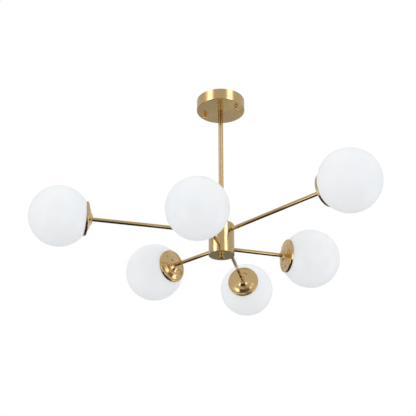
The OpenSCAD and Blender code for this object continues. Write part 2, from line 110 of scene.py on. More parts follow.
def srgb(red: int, green: int, blue: int) -> Colour:
    """Turns a colour as a screen shows it into the linear values that a shader takes.

    Args:
        red: The red part, from 0 to 255.
        green: The green part, from 0 to 255.
        blue: The blue part, from 0 to 255.

    Returns:
        The linear colour, opaque.
    """
    return (linear(red), linear(green), linear(blue), 1.0)


def grey(level: float) -> Colour:
    """A neutral colour of that linear level."""
    return (level, level, level, 1.0)


# ---- finishes ----


class Grain(Enum):
    """What the fine rings round a turned metal's axis do to its reflections."""

    OPEN = "they draw them out"
    FILLED = "nothing, because zinc or paint has filled them"


class Graph:
    """The node graph of one finish, with a short call for each kind of node."""

    def __init__(self, name: str) -> None:
        """Starts a material that holds only its shader.

        Args:
            name: The material's name.
        """
        self.material = bpy.data.materials.new(name)
        self.material.use_nodes = True
        self.tree = self.material.node_tree
        self.shader = self.tree.nodes["Principled BSDF"]
        self.place = self.add("ShaderNodeTexCoord").outputs["Object"]

    def add(self, kind: str, inputs: dict[str | int, Any] | None = None,
            **settings: Any) -> bpy.types.Node:
        """Adds a node.

        Args:
            kind: The node's type.
            inputs: A socket or a plain value for each of its inputs.
            **settings: The node's own settings.

        Returns:
            The node.
        """
        node = self.tree.nodes.new(kind)
        for name, value in settings.items():
            setattr(node, name, value)
        for name, value in (inputs or {}).items():
            self.feed(node.inputs[name], value)
        return node

    def feed(self, target: Socket, value: Any) -> None:
        """Links a socket to target, or sets target's own value.

        Args:
            target: The input.
            value: A socket or a plain value.
        """
        if isinstance(value, bpy.types.NodeSocket):
            self.tree.links.new(value, target)
        else:
            target.default_value = value

    def set(self, **values: Any) -> None:
        """Feeds the shader's inputs, named with _ for a space.

        Args:
            **values: A socket or a plain value for each input.
        """
        for name, value in values.items():
            self.feed(self.shader.inputs[name.replace("_", " ")], value)

    def math(self, operation: str, *values: Any) -> Socket:
        """The result of a Math node."""
        return self.add("ShaderNodeMath", dict(enumerate(values)), operation=operation).outputs[0]

    def vector(self, operation: str, *values: Any) -> bpy.types.Node:
        """A Vector Math node."""
        return self.add("ShaderNodeVectorMath", dict(enumerate(values)), operation=operation)

    def scaled(self, vector: Socket, factor: float) -> Socket:
        """A vector times a number."""
        return self.add("ShaderNodeVectorMath", {0: vector, "Scale": factor}, operation="SCALE").outputs[0]

    def noise(self, scale: float, detail: float = 3.0, roughness: float = 0.55, vector: Any = None,
              w: Any = None) -> Socket:
        """A noise texture's value.

        Args:
            scale: Its lumps per metre, or per unit of vector.
            detail: How many finer octaves it has.
            roughness: How strong those octaves are.
            vector: Where it is read, or None for the place on the piece.
            w: A fourth coordinate, or None.

        Returns:
            The noise, about 0.5 on average.
        """
        inputs = {"Vector": self.place if vector is None else vector, "Scale": scale, "Detail": detail,
                  "Roughness": roughness}
        if w is None:
            return self.add("ShaderNodeTexNoise", inputs).outputs[0]
        return self.add("ShaderNodeTexNoise", inputs | {"W": w}, noise_dimensions="4D").outputs[0]

    def spread(self, value: Socket, low: float, high: float, to_low: float = 0.0,
               to_high: float = 1.0) -> Socket:
        """Maps value from low..high to to_low..to_high, clamped."""
        inputs = {"Value": value, "From Min": low, "From Max": high, "To Min": to_low, "To Max": to_high}
        return self.add("ShaderNodeMapRange", inputs, clamp=True).outputs[0]

    def blend(self, share: Any, first: Any, second: Any) -> Socket:
        """Mixes two colours: share 0 gives first and 1 gives second."""
        return self.add("ShaderNodeMix", {0: share, 6: first, 7: second}, data_type="RGBA").outputs[2]

    def bump(self, height: Socket, depth: float, normal: Socket | None = None) -> Socket:
        """A bumped normal.

        Args:
            height: The relief, from 0 to 1.
            depth: How deep 1 is, in metres.
            normal: A normal that is already bumped, or None.

        Returns:
            The normal.
        """
        inputs = {"Height": height, "Distance": depth}
        if normal is not None:
            inputs["Normal"] = normal
        return self.add("ShaderNodeBump", inputs).outputs[0]

    def edges(self, radius: float) -> Socket:
        """Finds a piece's edges, where a rounded normal turns away from the true one.

        Args:
            radius: How near to an edge that starts.

        Returns:
            0 on a flat face, towards 1 at an edge.
        """
        rounded = self.add("ShaderNodeBevel", {"Radius": radius}, samples=4).outputs[0]
        true = self.add("ShaderNodeNewGeometry").outputs["Normal"]
        along = self.vector("DOT_PRODUCT", rounded, true).outputs["Value"]
        return self.spread(along, 1.0, FULL_EDGE)

    def around(self) -> tuple[Socket, Socket, Socket]:
        """Splits up the place on a turned piece.

        Returns:
            Its direction from the axis, its distance from the axis and its height.
        """
        parts = self.add("ShaderNodeSeparateXYZ", {0: self.place}).outputs
        flat = self.add("ShaderNodeCombineXYZ", {0: parts[0], 1: parts[1]}).outputs[0]
        radius = self.vector("LENGTH", flat).outputs["Value"]
        return self.vector("NORMALIZE", flat).outputs[0], radius, parts[2]

    def lines(self, per_metre: float, drift: float) -> Socket:
        """Draws the fine lines that turning leaves, in rings round the axis.

        Args:
            per_metre: How many of the widest lines lie side by side in a metre.
            drift: How much they change along their length.

        Returns:
            Their noise, about 0.5 on average.
        """
        direction, radius, height = self.around()
        across = self.add("ShaderNodeCombineXYZ", {2: self.math("MULTIPLY", radius, per_metre)}).outputs[0]
        spun = self.vector("ADD", self.scaled(direction, drift), across).outputs[0]
        return self.noise(1.0, detail=4.0, roughness=0.7, vector=spun,
                          w=self.math("MULTIPLY", height, per_metre))

    def along_rings(self) -> Socket:
        """Finds which way the rings round a piece's axis run.

        Returns:
            Their direction, in the world.
        """
        ring = self.vector("CROSS_PRODUCT", (0.0, 0.0, 1.0), self.around()[0]).outputs[0]
        return self.add("ShaderNodeVectorTransform", {0: ring}, vector_type="VECTOR",
                        convert_from="OBJECT", convert_to="WORLD").outputs[0]


@dataclass(frozen=True)
class Metal:
    """A metal: its colour, its fine lines, its mottling, the wear on its edges and its clear lacquer.

    Attributes:
        name: The finish's name.
        colour: The clean metal.
        tarnish: The metal where it has dulled.
        worn: The metal where its edges are rubbed bright.
        roughness: How rough it is on average.
        unevenness: How much that varies.
        grain: What its fine lines do to its reflections.
        lines_per_metre: How many of the widest lines lie side by side in a metre.
        drift: How much the lines change along their length.
        line_depth: How deep they are.
        stretch: How far they draw a reflection out.
        mottle: How much of the tarnish shows.
        mottle_size: How wide its specks are.
        dent_depth: How deep the specks lie, or 0 for flat.
        edge: How wide the worn edges are.
        lacquer: How much clear lacquer there is.
        lacquer_roughness: How rough that is.
        patches_per_speck: How many of the tarnish's patches there are for one of its specks.
        patch_span: The part of the patches' noise over which they come up.
        speck_span: The same for the specks.
        wear_span: The same for the wear on the edges.
        speck_share: How much of the dullness the specks make; the patches make the rest.
        line_share: How much of the tarnish follows the lines; the rest follows the dullness.
        dull_share: How much of the unevenness the dullness adds.
    """

    name: str
    colour: Colour
    tarnish: Colour
    worn: Colour
    roughness: float = 0.24
    unevenness: float = 0.08
    grain: Grain = Grain.OPEN
    lines_per_metre: float = 420.0
    drift: float = 1.6
    line_depth: float = 0.012 * MM
    stretch: float = 0.6
    mottle: float = 0.5
    mottle_size: float = 5 * MM
    dent_depth: float = 0.0
    edge: float = 0.7 * MM
    lacquer: float = 0.0
    lacquer_roughness: ClassVar[float] = 0.1
    patches_per_speck: ClassVar[float] = 0.35
    patch_span: ClassVar[Span] = (0.4, 0.65)
    speck_span: ClassVar[Span] = (0.38, 0.66)
    wear_span: ClassVar[Span] = (0.35, 0.6)
    speck_share: ClassVar[float] = 0.6
    line_share: ClassVar[float] = 0.5
    dull_share: ClassVar[float] = 0.4

    def make(self) -> bpy.types.Material:
        """Builds the material.

        Returns:
            The material.
        """
        graph = Graph(self.name)
        patches = graph.noise(self.patches_per_speck / self.mottle_size, detail=2.0)
        specks = graph.noise(1 / self.mottle_size, detail=4.0, roughness=0.65)
        lines = graph.lines(self.lines_per_metre, self.drift)
        dull = graph.math("MULTIPLY_ADD", graph.spread(specks, *self.speck_span), self.speck_share,
                          graph.math("MULTIPLY", graph.spread(patches, *self.patch_span),
                                     1 - self.speck_share))
        streaked = graph.math("MULTIPLY_ADD", graph.spread(lines, *SOFT_SPAN), self.line_share,
                              graph.math("MULTIPLY", dull, 1 - self.line_share))
        colour = graph.blend(graph.math("MULTIPLY", streaked, self.mottle), self.colour, self.tarnish)
        wear = graph.math("MULTIPLY", graph.edges(self.edge), graph.spread(specks, *self.wear_span))
        rough = graph.math("ADD", graph.spread(lines, *SOFT_SPAN, self.roughness - self.unevenness / 2,
                                               self.roughness + self.unevenness / 2),
                           graph.math("MULTIPLY", dull, self.unevenness * self.dull_share))
        normal = graph.bump(lines, self.line_depth)
        if self.dent_depth:
            normal = graph.bump(specks, self.dent_depth, normal=normal)
        graph.set(Base_Color=graph.blend(wear, colour, self.worn), Metallic=1.0, Roughness=rough,
                  Normal=normal, Coat_Weight=self.lacquer, Coat_Roughness=self.lacquer_roughness)
        if self.grain is Grain.OPEN:
            graph.set(Anisotropic=self.stretch, Anisotropic_Rotation=QUARTER_TURN,
                      Tangent=graph.along_rings())
        return graph.material


@dataclass(frozen=True)
class OpalGlass:
    """Blown milk glass with a satin face: faint clouding, slow waves from blowing and fine grit.

    Attributes:
        name: The finish's name.
        colour: The glass.
        cloud: The glass where it is clouded.
        clouds_per_metre: How many clouds there are in a metre.
        waves_per_metre: How many of the blowing's waves there are in a metre.
        wave_depth: How deep they are.
        grit_per_metre: How many grains the satin face has in a metre.
        grit_depth: How deep they are.
        patches_per_metre: How many rougher patches there are in a metre.
        roughness: How rough the smoothest and the roughest places are.
        bend: How strongly the glass bends light.
        shine: How much of the glass's own gloss is left.
    """

    name: str
    colour: Colour = srgb(247, 249, 251)
    cloud: Colour = srgb(244, 247, 250)
    clouds_per_metre: float = 24.0
    waves_per_metre: float = 38.0
    wave_depth: float = 0.12 * MM
    grit_per_metre: float = 2600.0
    grit_depth: float = 0.004 * MM
    patches_per_metre: float = 60.0
    roughness: Span = (0.34, 0.46)
    bend: float = 1.5
    shine: float = 0.2

    def make(self) -> bpy.types.Material:
        """Builds the material.

        Returns:
            The material.
        """
        graph = Graph(self.name)
        clouds = graph.noise(self.clouds_per_metre, detail=3.0)
        grit = graph.noise(self.grit_per_metre, detail=2.0)
        waves = graph.bump(graph.noise(self.waves_per_metre, detail=1.0), self.wave_depth)
        patches = graph.noise(self.patches_per_metre, detail=4.0)
        graph.set(Base_Color=graph.blend(graph.spread(clouds, *FIRM_SPAN), self.colour, self.cloud),
                  Roughness=graph.spread(patches, *SOFT_SPAN, *self.roughness), IOR=self.bend,
                  Specular_IOR_Level=self.shine, Normal=graph.bump(grit, self.grit_depth, normal=waves))
        return graph.material


@dataclass(frozen=True)
class Moulded:
    """A moulded or fired body: porcelain, plastic, silicone or a lead's insulation.

    Attributes:
        name: The finish's name.
        colour: The clean body.
        shade: The body where it is stained.
        roughness: How rough it is.
        smoother: How much less rough its smoothest places are.
        rougher: How much rougher its roughest places are.
        stains_per_metre: How many stains there are in a metre.
        stain_span: The part of their noise over which they come up.
        grit_size: How wide its grains are.
        grit_depth: How deep they are.
        rubbed: The body where its edges are rubbed.
        rub: How much of that shows.
        edge: How wide the rubbed edges are.
    """

    name: str
    colour: Colour
    shade: Colour
    roughness: float
    smoother: ClassVar[float] = 0.06
    rougher: ClassVar[float] = 0.08
    stains_per_metre: ClassVar[float] = 90.0
    stain_span: ClassVar[Span] = (0.35, 0.7)
    grit_size: ClassVar[float] = 0.6 * MM
    grit_depth: ClassVar[float] = 0.02 * MM
    rubbed: ClassVar[Colour] = grey(0.8)
    rub: ClassVar[float] = 0.4
    edge: ClassVar[float] = 0.5 * MM

    def make(self) -> bpy.types.Material:
        """Builds the material.

        Returns:
            The material.
        """
        graph = Graph(self.name)
        stain = graph.spread(graph.noise(self.stains_per_metre, detail=4.0), *self.stain_span)
        grit = graph.noise(1 / self.grit_size, detail=3.0)
        body = graph.blend(graph.math("MULTIPLY", graph.edges(self.edge), self.rub), self.colour, self.rubbed)
        rough = graph.spread(grit, *SOFT_SPAN, self.roughness - self.smoother, self.roughness + self.rougher)
        graph.set(Base_Color=graph.blend(stain, body, self.shade), Roughness=rough,
                  Normal=graph.bump(grit, self.grit_depth))
        return graph.material


@dataclass(frozen=True)
class EarthInsulation:
    """A lead's insulation in two colours that run along it in stripes.

    Attributes:
        name: The finish's name.
        colour: The insulation's lower side.
        stripe: Its upper side.
        waves_per_metre: How many waves the line between them has in a metre.
        wave: How high the waves are.
        stripe_span: Over which the one colour turns into the other.
        roughness: How rough it is.
        grit_per_metre: How many grains it has in a metre.
        grit_depth: How deep they are.
    """

    name: str
    colour: Colour = srgb(70, 140, 60)
    stripe: Colour = srgb(214, 196, 60)
    waves_per_metre: float = 160.0
    wave: float = 0.5
    stripe_span: Span = (0.42, 0.5)
    roughness: float = 0.45
    grit_per_metre: float = 1500.0
    grit_depth: float = 0.01 * MM

    def make(self) -> bpy.types.Material:
        """Builds the material.

        Returns:
            The material.
        """
        graph = Graph(self.name)
        facing = graph.add("ShaderNodeTexCoord").outputs["Normal"]
        height = graph.add("ShaderNodeSeparateXYZ", {0: facing}).outputs[2]
        side = graph.math("MULTIPLY_ADD", graph.noise(self.waves_per_metre, detail=1.0), self.wave, height)
        share = graph.spread(side, *self.stripe_span)
        graph.set(Base_Color=graph.blend(share, self.colour, self.stripe), Roughness=self.roughness,
                  Normal=graph.bump(graph.noise(self.grit_per_metre), self.grit_depth))
        return graph.material


@dataclass(frozen=True)
class FrostedQuartz:
    """The lamps' frosted glass.

    Attributes:
        name: The finish's name.
        colour: The glass.
        shade: The glass where it is less frosted.
        shades_per_metre: How many such places there are in a metre.
        frost_per_metre: How many of the frost's grains there are in a metre.
        frost_depth: How deep they are.
        roughness: How rough the smoothest and the roughest places are.
        clear: How much light goes through it.
        bend: How strongly it bends light.
    """

    name: str
    colour: Colour = srgb(240, 238, 230)
    shade: Colour = grey(0.72)
    shades_per_metre: float = 120.0
    frost_per_metre: float = 1800.0
    frost_depth: float = 0.01 * MM
    roughness: Span = (0.4, 0.6)
    clear: float = 0.15
    bend: float = 1.46

    def make(self) -> bpy.types.Material:
        """Builds the material.

        Returns:
            The material.
        """
        graph = Graph(self.name)
        frost = graph.noise(self.frost_per_metre, detail=3.0)
        tone = graph.spread(graph.noise(self.shades_per_metre), *FIRM_SPAN)
        graph.set(Base_Color=graph.blend(tone, self.colour, self.shade),
                  Roughness=graph.spread(frost, *SOFT_SPAN, *self.roughness),
                  Normal=graph.bump(frost, self.frost_depth), Transmission_Weight=self.clear, IOR=self.bend)
        return graph.material


BRASS = srgb(211, 181, 125)
BRASS_TARNISH = srgb(193, 160, 104)
BRASS_WORN = srgb(232, 208, 156)


class Palette:
    """Every finish of the chandelier, each made once."""

    def __init__(self) -> None:
        """Makes the finishes."""
        self.canopy = Metal("canopy_brass", BRASS, BRASS_TARNISH, BRASS_WORN, roughness=0.25, unevenness=0.05,
                            lines_per_metre=900.0, line_depth=0.006 * MM, stretch=0.6, mottle=0.45,
                            mottle_size=18 * MM, lacquer=0.5).make()
        self.rod = Metal("rod_brass", BRASS, BRASS_TARNISH, BRASS_WORN, roughness=0.18, unevenness=0.04,
                         line_depth=0.004 * MM, stretch=0.3, mottle=0.35, mottle_size=14 * MM,
                         lacquer=0.5).make()
        self.hub = Metal("hub_brass", BRASS, BRASS_TARNISH, BRASS_WORN, roughness=0.2, unevenness=0.05,
                         lines_per_metre=900.0, line_depth=0.006 * MM, stretch=0.6, mottle=0.4,
                         mottle_size=14 * MM, lacquer=0.6).make()
        self.cover = Metal("cover_brass", srgb(214, 190, 148), srgb(186, 162, 122), srgb(224, 204, 162),
                           roughness=0.13, unevenness=0.05, lines_per_metre=1200.0, line_depth=0.004 * MM,
                           stretch=0.4, mottle=0.5, mottle_size=9 * MM).make()
        self.arm = Metal("arm_brass", BRASS, BRASS_TARNISH, BRASS_WORN, roughness=0.1, unevenness=0.04,
                         line_depth=0.003 * MM, stretch=0.2, mottle=0.35, mottle_size=16 * MM,
                         lacquer=0.6).make()
        self.saucer = Metal("saucer_brass", srgb(228, 195, 139), BRASS_TARNISH, BRASS_WORN, roughness=0.1,
                            unevenness=0.04, lines_per_metre=700.0, line_depth=0.003 * MM, stretch=0.2,
                            mottle=0.45, mottle_size=12 * MM, dent_depth=0.02 * MM, lacquer=0.5).make()
        # The cap nuts and their washers take a paler, more golden copy of the brass. This is painted light:
        # it stands in for the brightness the small balls lose where they mirror the canopy's darker
        # underside.
        self.nut = Metal("nut_brass", srgb(236, 200, 136), srgb(214, 174, 108), BRASS_WORN, roughness=0.16,
                         mottle=0.4, mottle_size=5 * MM, stretch=0.2, lacquer=0.5).make()
        self.finial = Metal("finial_brass", BRASS, BRASS_TARNISH, BRASS_WORN, roughness=0.12, unevenness=0.04,
                            line_depth=0.004 * MM, stretch=0.2, mottle=0.3, lacquer=0.5).make()
        self.zinc = Metal("zinc_steel", srgb(190, 192, 196), srgb(150, 150, 148), grey(0.7), roughness=0.36,
                          unevenness=0.12, grain=Grain.FILLED, mottle=0.7, mottle_size=4 * MM,
                          dent_depth=0.02 * MM, edge=0.4 * MM).make()
        self.opal = OpalGlass("opal_glass_satin").make()
        self.porcelain = Moulded("glazed_porcelain", srgb(236, 233, 222), srgb(222, 216, 202), 0.22).make()
        self.silicone = Moulded("silicone", srgb(226, 226, 222), srgb(204, 203, 198), 0.55).make()
        self.cable = Moulded("lead_insulation", srgb(226, 219, 202), srgb(206, 198, 180), 0.42).make()
        self.earth = EarthInsulation("earth_insulation").make()
        self.earth_screw = Metal("earth_green_steel", srgb(92, 150, 84), srgb(62, 110, 60),
                                 srgb(176, 178, 160), grain=Grain.FILLED, edge=0.5 * MM).make()
        self.plastic = Moulded("moulded_plastic", srgb(52, 52, 54), srgb(38, 38, 41), 0.4).make()
        self.quartz = FrostedQuartz("frosted_quartz").make()


# ---- turning ----


@dataclass(frozen=True)
class Corner:
    """A corner of a turned outline.

    Attributes:
        radius: Its distance from the axis.
        height: Its place along the axis.
        fillet: The radius that rounds it.
    """

    radius: float
    height: float
    fillet: float = 0.0


def rounded(corners: Sequence[Corner], steps: int) -> list[Point]:
    """The points of a closed outline with its corners rounded.

    Args:
        corners: The outline's corners in order.
        steps: How many edges each fillet has.

    Returns:
        The points as radius and height.
    """
    points: list[Point] = []
    for index, corner in enumerate(corners):
        here = Vector((corner.radius, corner.height))
        if not corner.fillet:
            points.append(tuple(here))
            continue
        before, after = corners[index - 1], corners[(index + 1) % len(corners)]
        back = Vector((before.radius, before.height)) - here
        on = Vector((after.radius, after.height)) - here
        reach = corner.fillet / math.tan(back.angle(on) / 2)
        start = here + back.normalized() * min(reach, back.length * LONGEST_CUT)
        end = here + on.normalized() * min(reach, on.length * LONGEST_CUT)
        for step in range(steps + 1):
            share = step / steps
            points.append(tuple(start * (1 - share) ** 2 + here * 2 * share * (1 - share)
                                + end * share ** 2))
    return points


def arc(centre: Point, radius: float, start: float, end: float, steps: int) -> list[Point]:
    """Points on an arc.

    Args:
        centre: The arc's centre.
        radius: Its radius.
        start: Where it starts, in degrees from the radius direction.
        end: Where it ends.
        steps: How many edges it has.

    Returns:
        The points as radius and height.
    """
    angles = [math.radians(start + (end - start) * k / steps) for k in range(steps + 1)]
    return [(centre[0] + radius * math.cos(a), centre[1] + radius * math.sin(a)) for a in angles]


def bezier(start: Vector, first: Vector, second: Vector, end: Vector, steps: int) -> list[Point]:
    """Points on a cubic curve, without its first.

    Args:
        start: Where it starts.
        first: The control point by its start.
        second: The control point by its end.
        end: Where it ends.
        steps: How many edges it has.

    Returns:
        The points as radius and height.
    """
    points = []
    for step in range(1, steps + 1):
        t = step / steps
        points.append(tuple(start * (1 - t) ** 3 + first * 3 * t * (1 - t) ** 2
                            + second * 3 * t * t * (1 - t) + end * t ** 3))
    return points


def inset(points: Sequence[Point], wall: float) -> list[Point]:
    """An open outline moved sideways by a wall's thickness, along its normals.

    Args:
        points: The outline.
        wall: The thickness.

    Returns:
        The moved points.
    """
    moved = []
    for index, point in enumerate(points):
        before = Vector(points[max(index - 1, 0)])
        after = Vector(points[min(index + 1, len(points) - 1)])
        along = (after - before).normalized()
        moved.append((point[0] - along.y * wall, point[1] + along.x * wall))
    return moved


def spin(name: str, outline: Sequence[Point], sides: int) -> bpy.types.Mesh:
    """Spins a closed outline about Z.

    Args:
        name: The mesh's name.
        outline: The outline's points as radius and height.
        sides: How many sides the piece has round its axis.

    Returns:
        The mesh, smooth but for its true edges.
    """
    made = bmesh.new()
    rings = []
    for radius, height in outline:
        angles = [0.0] if radius < ON_AXIS else [math.tau * k / sides for k in range(sides)]
        rings.append([made.verts.new((radius * math.cos(angle), radius * math.sin(angle), height))
                      for angle in angles])
    for index, ring in enumerate(rings):
        after = rings[(index + 1) % len(rings)]
        if len(ring) == 1 and len(after) == 1:
            continue
        for k in range(sides):
            loop = [ring[k % len(ring)], ring[(k + 1) % len(ring)],
                    after[(k + 1) % len(after)], after[k % len(after)]]
            made.faces.new(list(dict.fromkeys(loop)))
    bmesh.ops.recalc_face_normals(made, faces=made.faces)
    mesh = bpy.data.meshes.new(name)
    made.to_mesh(mesh)
    made.free()
    mesh.shade_smooth()
    mesh.set_sharp_from_angle(angle=math.radians(SHARP_ANGLE))
    return mesh


@dataclass(frozen=True)
class Extent:
    """How far a frame node reaches, seen along one axis.

    Attributes:
        low: Its lowest place along the axis.
        high: Its highest place along the axis.
        outer: Its largest distance from the axis.
        inner: Its smallest distance from the axis.
    """

    low: float
    high: float
    outer: float
    inner: float

    @classmethod
    def of(cls, node: str, place: Matrix | None = None) -> "Extent":
        """Measures a node.

        Args:
            node: The node's name.
            place: The local frame whose Z axis it is measured along, or None for the object's own.

        Returns:
            Its extent.
        """
        into = (place or Matrix.Identity(4)).inverted()
        points = [into @ vertex.co for vertex in frame["nodes"][node].data.vertices]
        radii = [math.hypot(point.x, point.y) for point in points]
        heights = [point.z for point in points]
        return cls(min(heights), max(heights), max(radii), min(radii))


def tube(extent: Extent, edge: float) -> list[Point]:
    """The outline of a plain tube or washer.

    Args:
        extent: Its size and place.
        edge: The radius of its four edges.

    Returns:
        The outline.
    """
    return rounded([Corner(extent.inner, extent.low, edge), Corner(extent.outer, extent.low, edge),
                    Corner(extent.outer, extent.high, edge), Corner(extent.inner, extent.high, edge)],
                   steps=3)


# ---- sub-assemblies ----


@dataclass
class SubAssembly:
    """What the sub-assemblies share.

    Attributes:
        palette: The finishes that they are dressed from.
        made: The names of the pieces that are done.
    """

    palette: Palette
    made: list[str] = field(default_factory=list, init=False)

    def keep(self, node: str, material: bpy.types.Material, edge: float = 0.0) -> None:
        """Dresses a frame node that keeps its own shape.

        Args:
            node: The node's name.
            material: Its finish.
            edge: How far its sharp edges are broken, or 0.
        """
        piece = frame["nodes"][node]
        piece.data.materials.clear()
        piece.data.materials.append(material)
        if edge:
            weld = piece.modifiers.new("joined", "WELD")
            weld.merge_threshold = WELD_GAP
            soft = piece.modifiers.new("edges", "BEVEL")
            soft.width = edge
            soft.segments = 2
            soft.limit_method = "ANGLE"
            soft.angle_limit = math.radians(BREAK_ANGLE)
        self.made.append(node)

    def stand_in(self, name: str, mesh: bpy.types.Mesh, material: bpy.types.Material, body: str, slot: str,
                 *nodes: str, place: Matrix | None = None) -> None:
        """Puts a finer piece in the place of frame nodes.

        Args:
            name: The piece's name.
            mesh: Its mesh.
            material: Its finish.
            body: The body that it rides on.
            slot: The record's material slot; not used.
            *nodes: The nodes that it stands for.
            place: Its local frame, or None for the object's own.
        """
        piece = bpy.data.objects.new(name, mesh)
        bpy.context.scene.collection.objects.link(piece)
        mesh.materials.append(material)
        piece.matrix_world = place or Matrix.Identity(4)
        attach(piece, body)
        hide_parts(*nodes)
        self.made.append(name)


@dataclass
class CeilingMount(SubAssembly):
    """The canopy, its cap nuts and what hides above it: the bracket, studs, terminal block and leads.

    Attributes:
        bracket_edge: How far the bracket's edges are broken.
        nut_edge: How far the stud nuts' edges are broken.
        screw_edge: How far the earth screw's edges are broken.
        block_edge: How far the terminal block's edges are broken.
        collar_share: A cap nut's collar, as a share of its ball.
        collar_height: The collar's height.
        collar_fillet: The radius of the collar's edges.
        ball_gap: What the ball's arc leaves out at its pole and at the collar, in degrees.
        nut_bore: The radius of the cap nuts' blind hole.
        mouth_edge: The radius of that hole's edge.
        bore_share: How deep the hole is, as a share of the nut's height.
        nut_sides: How many sides a cap nut has.
    """

    bracket_edge: float = 0.3 * MM
    nut_edge: float = 0.25 * MM
    screw_edge: float = 0.2 * MM
    block_edge: float = 0.6 * MM
    collar_share: float = 0.8
    collar_height: float = 3.0 * MM
    collar_fillet: float = 0.4 * MM
    ball_gap: float = 6.0
    nut_bore: float = 2.05 * MM
    mouth_edge: float = 0.2 * MM
    bore_share: float = 0.7
    nut_sides: int = 48

    def build(self) -> None:
        """Builds and dresses every piece."""
        self.dress_bracket()
        self.dress_canopy()
        for number in (1, 2):
            self.turn_cap_nut(number)

    def dress_bracket(self) -> None:
        """Dresses what the canopy covers."""
        steel = self.palette.zinc
        self.keep("ceiling_bracket", steel, self.bracket_edge)
        self.keep("bracket_studs", steel)
        self.keep("stud_nuts", steel, self.nut_edge)
        self.keep("earth_screw", self.palette.earth_screw, self.screw_edge)
        self.keep("earth_lead", self.palette.earth)
        self.keep("terminal_block", self.palette.porcelain, self.block_edge)

    def dress_canopy(self) -> None:
        """Dresses the brushed cup and its two washers."""
        self.keep("canopy", self.palette.canopy)
        for number in (1, 2):
            self.keep(f"cap_washer_{number}", self.palette.nut)

    def turn_cap_nut(self, number: int) -> None:
        """Turns one cap nut: a ball on a round collar, with a blind thread.

        Args:
            number: Which of the two.
        """
        node = f"cap_nut_{number}"
        low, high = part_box(node)
        place = Matrix.Translation(((low.x + high.x) / 2, (low.y + high.y) / 2, 0.0))
        size = Extent.of(node, place)
        ball = size.outer
        collar = ball * self.collar_share
        collar_low = size.high - self.collar_height
        foot = size.high - (size.high - size.low) * self.bore_share
        centre = size.low + ball
        meet = math.degrees(math.asin(min(1.0, (collar_low - centre) / ball)))
        outline = [(0.0, size.low)]
        outline += arc((0.0, centre), ball, self.ball_gap - 90.0, meet - self.ball_gap, steps=20)
        outline += rounded([Corner(collar, collar_low + self.mouth_edge, self.collar_fillet),
                            Corner(collar, size.high, self.collar_fillet),
                            Corner(self.nut_bore, size.high, self.mouth_edge),
                            Corner(self.nut_bore, foot), Corner(0.0, foot)], steps=3)
        mesh = spin(f"{node}_turned", outline, self.nut_sides)
        self.stand_in(f"{node}_turned", mesh, self.palette.nut, node, "brass", node, place=place)


@dataclass
class DownRod(SubAssembly):
    """The straight tube between canopy and hub, with its nipple, nuts and the supply lead.

    Attributes:
        edge: The radius of the tube's edges.
        nut_edge: How far its nuts' edges are broken.
        sides: How many sides the tube has.
    """

    edge: float = 0.4 * MM
    nut_edge: float = 0.3 * MM
    sides: int = 64

    def build(self) -> None:
        """Builds and dresses every piece."""
        mesh = spin("down_rod_tube", tube(Extent.of("down_rod"), self.edge), self.sides)
        self.stand_in("down_rod_tube", mesh, self.palette.rod, "frame", "brass", "down_rod")
        self.keep("canopy_nipple", self.palette.zinc)
        self.keep("rod_nuts", self.palette.zinc, self.nut_edge)
        self.keep("supply_lead", self.palette.cable)


